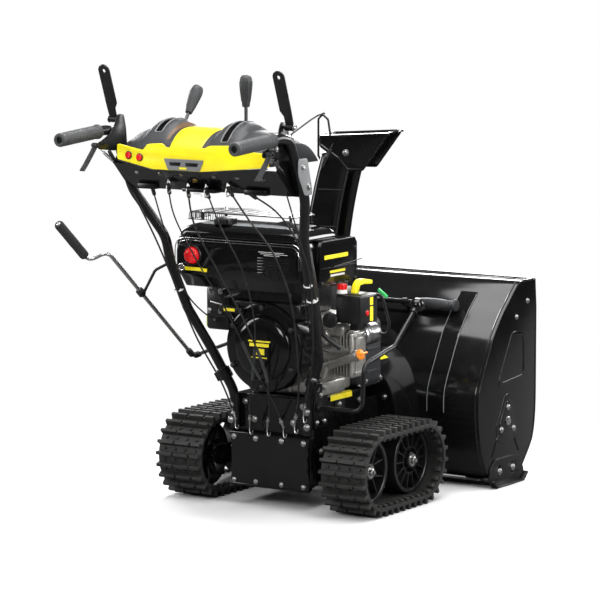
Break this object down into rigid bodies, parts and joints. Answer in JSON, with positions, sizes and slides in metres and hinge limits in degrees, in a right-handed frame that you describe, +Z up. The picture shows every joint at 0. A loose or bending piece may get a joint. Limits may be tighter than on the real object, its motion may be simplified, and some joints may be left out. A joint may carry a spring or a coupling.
{
  "type": "two stage snowblower",
  "caption": "Walk-behind two stage snowblower on rubber tracks, with a swivelling chute, tilting deflector, ribbon augers, impeller and a handlebar dash with levers.",
  "frame": {"origin": "on the ground, on the machine's centre plane, midway along its length", "axes": "+X to the machine's right as seen by the person behind it, +Y forward (the auger end), +Z up"},
  "size_m": [0.752, 1.335, 1.1636],
  "materials": {
    "black_paint": "gloss",
    "black_plastic": "semi-gloss",
    "charcoal_plastic": "grained",
    "yellow_plastic": "satin",
    "red_plastic": "gloss",
    "orange_plastic": "satin",
    "grip_rubber": "matt",
    "track_rubber": "matt",
    "cast_aluminium": "as cast",
    "bright_steel": "zinc plated"
  },
  "bodies": {
    "chassis": {"transmission_case": "black_paint", "rear_cover": "black_paint", "handle_tube_left": "black_paint", "handle_tube_right": "black_paint", "dash_panel": "black_paint", "dash_cover": "charcoal_plastic", "dash_fascia": "yellow_plastic", "grip_left": "grip_rubber", "grip_right": "grip_rubber", "crankcase": "cast_aluminium", "fan_shroud": "black_paint", "recoil_cover": "black_plastic", "engine_cowl": "black_plastic", "fuel_tank": "black_plastic", "top_guard": "charcoal_plastic", "muffler": "bright_steel", "muffler_guard": "black_paint", "starter_box": "black_plastic", "starter_motor": "cast_aluminium", "carburettor": "black_plastic", "belt_cover": "charcoal_plastic", "auger_housing": "black_paint", "scraper_bar": "black_paint", "skid_left": "black_paint", "skid_right": "black_paint", "auger_gearbox": "cast_aluminium"},
    "crankshaft": {"crankshaft": "bright_steel"},
    "recoil_handle": {"recoil_handle": "black_plastic"},
    "fuel_cap": {"fuel_cap": "black_plastic"},
    "oil_dipstick": {"oil_dipstick": "orange_plastic"},
    "primer_bulb": {"primer_bulb": "red_plastic"},
    "ignition_key": {"ignition_key": "bright_steel"},
    "starter_button": {"starter_button": "red_plastic"},
    "heat_button_left": {"heat_button_left": "red_plastic"},
    "heat_button_right": {"heat_button_right": "red_plastic"},
    "auger_paddle": {"auger_paddle": "black_paint"},
    "drive_paddle": {"drive_paddle": "black_paint"},
    "trigger_left": {"trigger_left": "charcoal_plastic"},
    "trigger_right": {"trigger_right": "charcoal_plastic"},
    "speed_lever": {"speed_lever": "charcoal_plastic"},
    "chute": {"chute": "black_plastic"},
    "deflector": {"deflector": "black_plastic"},
    "deflector_lever": {"deflector_lever": "charcoal_plastic"},
    "crank_rod": {"crank_rod": "bright_steel"},
    "worm_shaft": {"worm_shaft": "black_paint"},
    "augers": {"auger_shaft": "bright_steel", "auger_left": "black_paint", "auger_right": "black_paint"},
    "impeller": {"impeller": "black_paint", "impeller_shaft": "bright_steel"},
    "drive_wheel_left": {"drive_wheel_left": "black_plastic"},
    "drive_wheel_right": {"drive_wheel_right": "black_plastic"},
    "track_left": {"track_frame_left": "black_paint", "track_belt_left": "track_rubber"},
    "track_right": {"track_frame_right": "black_paint", "track_belt_right": "track_rubber"},
    "idler_wheel_left": {"idler_wheel_left": "black_plastic"},
    "idler_wheel_right": {"idler_wheel_right": "black_plastic"},
    "height_lever": {"height_lever": "black_paint"},
    "clean_out_tool": {"clean_out_tool": "black_plastic"}
  },
  "joints": [
    {"name": "crankshaft_spin", "type": "hinge", "parent": "chassis", "child": "crankshaft", "pos_m": [0, 0, 0.425], "axis": [0, 1, 0], "continuous": true},
    {"name": "recoil_pull", "type": "slide", "parent": "chassis", "child": "recoil_handle", "axis": [0, -1, 0], "range_m": [0, 0.3]},
    {"name": "fuel_cap_turn", "type": "hinge", "parent": "chassis", "child": "fuel_cap", "pos_m": [-0.1, -0.172, 0.7425], "axis": [0, 0, 1], "range_deg": [0, 90]},
    {"name": "oil_dipstick_turn", "type": "hinge", "parent": "chassis", "child": "oil_dipstick", "pos_m": [0.23175, -0.05203, 0.41179], "axis": [0.9325, -0.0356, 0.3595], "range_deg": [0, 90]},
    {"name": "primer_press", "type": "slide", "parent": "chassis", "child": "primer_bulb", "axis": [0, 1, 0], "range_m": [0, 0.006]},
    {"name": "key_pull", "type": "slide", "parent": "chassis", "child": "ignition_key", "axis": [0, -1, 0], "range_m": [0, 0.006]},
    {"name": "starter_press", "type": "slide", "parent": "chassis", "child": "starter_button", "axis": [-1, 0, 0], "range_m": [0, 0.003]},
    {"name": "heat_press_left", "type": "slide", "parent": "chassis", "child": "heat_button_left", "axis": [0, 1, 0], "range_m": [0, 0.002]},
    {"name": "heat_press_right", "type": "slide", "parent": "chassis", "child": "heat_button_right", "axis": [0, 1, 0], "range_m": [0, 0.002]},
    {"name": "auger_paddle_press", "type": "hinge", "parent": "chassis", "child": "auger_paddle", "pos_m": [0.2665, -0.429, 1.022], "axis": [1, 0, 0], "range_deg": [0, 70]},
    {"name": "drive_paddle_press", "type": "hinge", "parent": "chassis", "child": "drive_paddle", "pos_m": [-0.2665, -0.429, 1.022], "axis": [1, 0, 0], "range_deg": [0, 70]},
    {"name": "trigger_squeeze_left", "type": "hinge", "parent": "chassis", "child": "trigger_left", "pos_m": [-0.2625, -0.513, 0.9615], "axis": [-1, 0, 0], "range_deg": [0, 30]},
    {"name": "trigger_squeeze_right", "type": "hinge", "parent": "chassis", "child": "trigger_right", "pos_m": [0.2625, -0.513, 0.9615], "axis": [-1, 0, 0], "range_deg": [0, 30]},
    {"name": "speed_select", "type": "hinge", "parent": "chassis", "child": "speed_lever", "pos_m": [0.08, -0.345, 0.925], "axis": [1, 0, 0], "range_deg": [0, 50]},
    {"name": "chute_turn", "type": "hinge", "parent": "chassis", "child": "chute", "pos_m": [-0.105, 0.305, 0.4215], "axis": [0, 0, 1], "range_deg": [-25, 175]},
    {"name": "deflector_tilt", "type": "hinge", "parent": "chute", "child": "deflector", "pos_m": [-0.02386, 0.32674, 0.9], "axis": [-0.2588, 0.9659, 0], "range_deg": [0, 50]},
    {"name": "deflector_lever_swing", "type": "hinge", "parent": "chassis", "child": "deflector_lever", "pos_m": [-0.13, -0.372, 0.925], "axis": [1, 0, 0], "range_deg": [0, 62]},
    {"name": "crank_turn", "type": "hinge", "parent": "chassis", "child": "crank_rod", "pos_m": [-0.27, -0.077, 0.372], "axis": [0, -0.7686, 0.6397], "range_deg": [-150, 1050]},
    {"name": "worm_turn", "type": "hinge", "parent": "chassis", "child": "worm_shaft", "pos_m": [-0.27, -0.077, 0.372], "axis": [0.1939, 0.9684, 0.157], "range_deg": [-1050, 150]},
    {"name": "auger_spin", "type": "hinge", "parent": "chassis", "child": "augers", "pos_m": [0, 0.509, 0.172], "axis": [1, 0, 0], "continuous": true},
    {"name": "impeller_spin", "type": "hinge", "parent": "chassis", "child": "impeller", "pos_m": [0, 0, 0.2], "axis": [0, 1, 0], "continuous": true},
    {"name": "drive_spin_left", "type": "hinge", "parent": "chassis", "child": "drive_wheel_left", "pos_m": [-0.25, 0.141, 0.1125], "axis": [1, 0, 0], "continuous": true},
    {"name": "drive_spin_right", "type": "hinge", "parent": "chassis", "child": "drive_wheel_right", "pos_m": [0.25, 0.141, 0.1125], "axis": [1, 0, 0], "continuous": true},
    {"name": "track_tilt_left", "type": "hinge", "parent": "chassis", "child": "track_left", "pos_m": [-0.25, 0.141, 0.1125], "axis": [1, 0, 0], "range_deg": [-4, 6]},
    {"name": "track_tilt_right", "type": "hinge", "parent": "chassis", "child": "track_right", "pos_m": [0.25, 0.141, 0.1125], "axis": [1, 0, 0], "range_deg": [-4, 6]},
    {"name": "idler_spin_left", "type": "hinge", "parent": "track_left", "child": "idler_wheel_left", "pos_m": [-0.25, -0.067, 0.1125], "axis": [1, 0, 0], "continuous": true},
    {"name": "idler_spin_right", "type": "hinge", "parent": "track_right", "child": "idler_wheel_right", "pos_m": [0.25, -0.067, 0.1125], "axis": [1, 0, 0], "continuous": true},
    {"name": "height_lever_swing", "type": "hinge", "parent": "chassis", "child": "height_lever", "pos_m": [0.264, -0.088, 0.27], "axis": [1, 0, 0], "range_deg": [-36, 24]},
    {"name": "tool_lift_out", "type": "slide", "parent": "chassis", "child": "clean_out_tool", "axis": [0, -0.6625, 0.749], "range_m": [0, 0.08]}
  ],
  "couplings": [
    {"joint": "track_tilt_right", "follows": "track_tilt_left", "ratio": 1},
    {"joint": "height_lever_swing", "follows": "track_tilt_left", "ratio": -6},
    {"joint": "idler_spin_left", "follows": "drive_spin_left", "ratio": 1},
    {"joint": "idler_spin_right", "follows": "drive_spin_right", "ratio": 1},
    {"joint": "crank_turn", "follows": "chute_turn", "ratio": 6},
    {"joint": "worm_turn", "follows": "chute_turn", "ratio": -6},
    {"joint": "deflector_lever_swing", "follows": "deflector_tilt", "ratio": 1.24},
    {"joint": "impeller_spin", "follows": "auger_spin", "ratio": 10}
  ]
}
